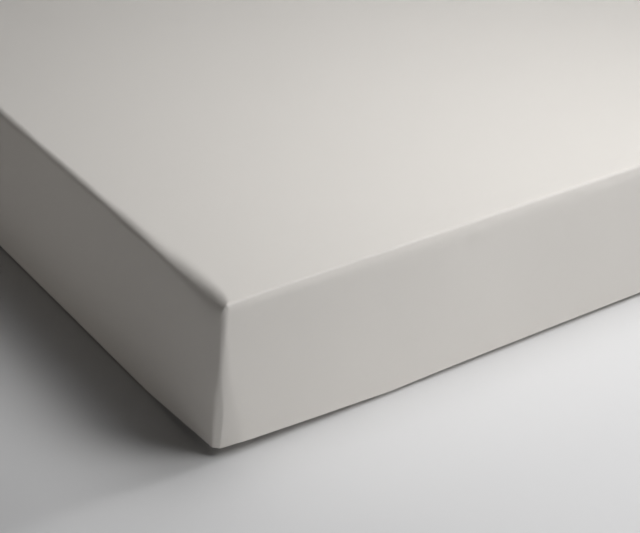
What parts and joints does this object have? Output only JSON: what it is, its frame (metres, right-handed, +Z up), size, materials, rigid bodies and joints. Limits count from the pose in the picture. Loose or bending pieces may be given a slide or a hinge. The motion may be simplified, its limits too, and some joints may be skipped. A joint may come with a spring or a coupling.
{
  "type": "fitted sheet on mattress",
  "caption": "Plain off-white fitted sheet drawn tight over a single foam mattress, with sewn corners, its hem turned under and the bottom corners pulled up by the elastic.",
  "frame": {"origin": "middle of the footprint, on the surface that the mattress lies on", "axes": "+X along the length of the mattress, +Y across it, +Z up"},
  "size_m": [2.0092, 0.9097, 0.224],
  "materials": {
    "sheet_cloth": "matte, fine plain weave, warm off-white",
    "mattress_cover": "matte, plain knitted cover, white"
  },
  "bodies": {
    "root": {"fitted_sheet": "sheet_cloth", "mattress": "mattress_cover"}
  },
  "joints": []
}
